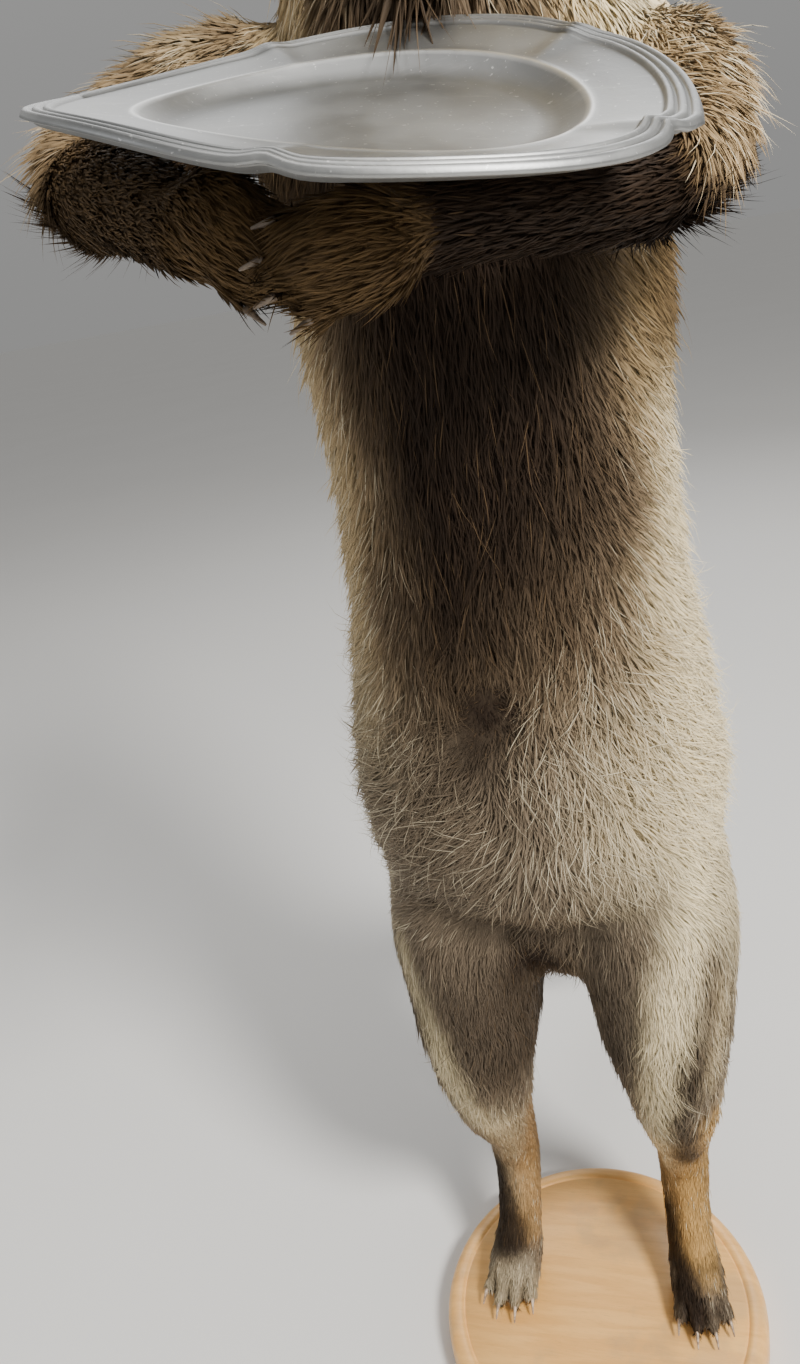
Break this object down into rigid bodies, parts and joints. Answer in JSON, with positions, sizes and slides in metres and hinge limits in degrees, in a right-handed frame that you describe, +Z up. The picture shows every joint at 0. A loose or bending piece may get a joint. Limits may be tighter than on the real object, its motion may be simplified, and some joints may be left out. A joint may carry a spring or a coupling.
{
  "type": "taxidermy red fox holding a platter",
  "caption": "Life-size taxidermy red fox standing upright on a round wooden base and holding an oval pewter platter on its forelegs.",
  "frame": {"origin": "middle of the flat underside of the round base", "axes": "+Z up through the standing fox, -Y the way the fox faces, +X the fox's left"},
  "size_m": [0.2901, 0.5992, 1.1031],
  "materials": {
    "fur_grey": "grey-brown underside fur with pale hair tips",
    "fur_red": "faded red-brown fur, grizzled",
    "fur_dark": "blackish-brown short fur of the stockings and ears",
    "fur_cream": "cream-white fur",
    "claw": "polished horn",
    "eye": "amber taxidermy glass",
    "nose": "dark pebbled nose leather",
    "pewter": "dull grey pewter, worn",
    "wood": "turned, honey-coloured, satin varnish with stains"
  },
  "bodies": {
    "root": {"base": "wood", "platter": "pewter", "hips": "fur_grey", "belly": "fur_grey", "chest": "fur_grey", "neck": "fur_red", "head": "fur_red", "tail_root": "fur_red", "tail_brush": "fur_red", "tail_tip": "fur_cream", "ear_left": "fur_dark", "ear_right": "fur_dark", "upper_arm_left": "fur_red", "upper_arm_right": "fur_red", "forearm_left": "fur_dark", "forearm_right": "fur_dark", "forepaw_left": "fur_dark", "forepaw_right": "fur_dark", "thigh_left": "fur_cream", "thigh_right": "fur_cream", "shank_left": "fur_red", "shank_right": "fur_red", "hind_foot_left": "fur_dark", "hind_foot_right": "fur_dark", "hind_paw_left": "fur_dark", "hind_paw_right": "fur_dark", "eye_left": "eye", "eye_right": "eye", "nose": "nose", "claw_fore_left_1": "claw", "claw_fore_left_2": "claw", "claw_fore_left_3": "claw", "claw_fore_left_4": "claw", "claw_fore_right_1": "claw", "claw_fore_right_2": "claw", "claw_fore_right_3": "claw", "claw_fore_right_4": "claw", "claw_hind_left_1": "claw", "claw_hind_left_2": "claw", "claw_hind_left_3": "claw", "claw_hind_left_4": "claw", "claw_hind_right_1": "claw", "claw_hind_right_2": "claw", "claw_hind_right_3": "claw", "claw_hind_right_4": "claw"}
  },
  "joints": []
}
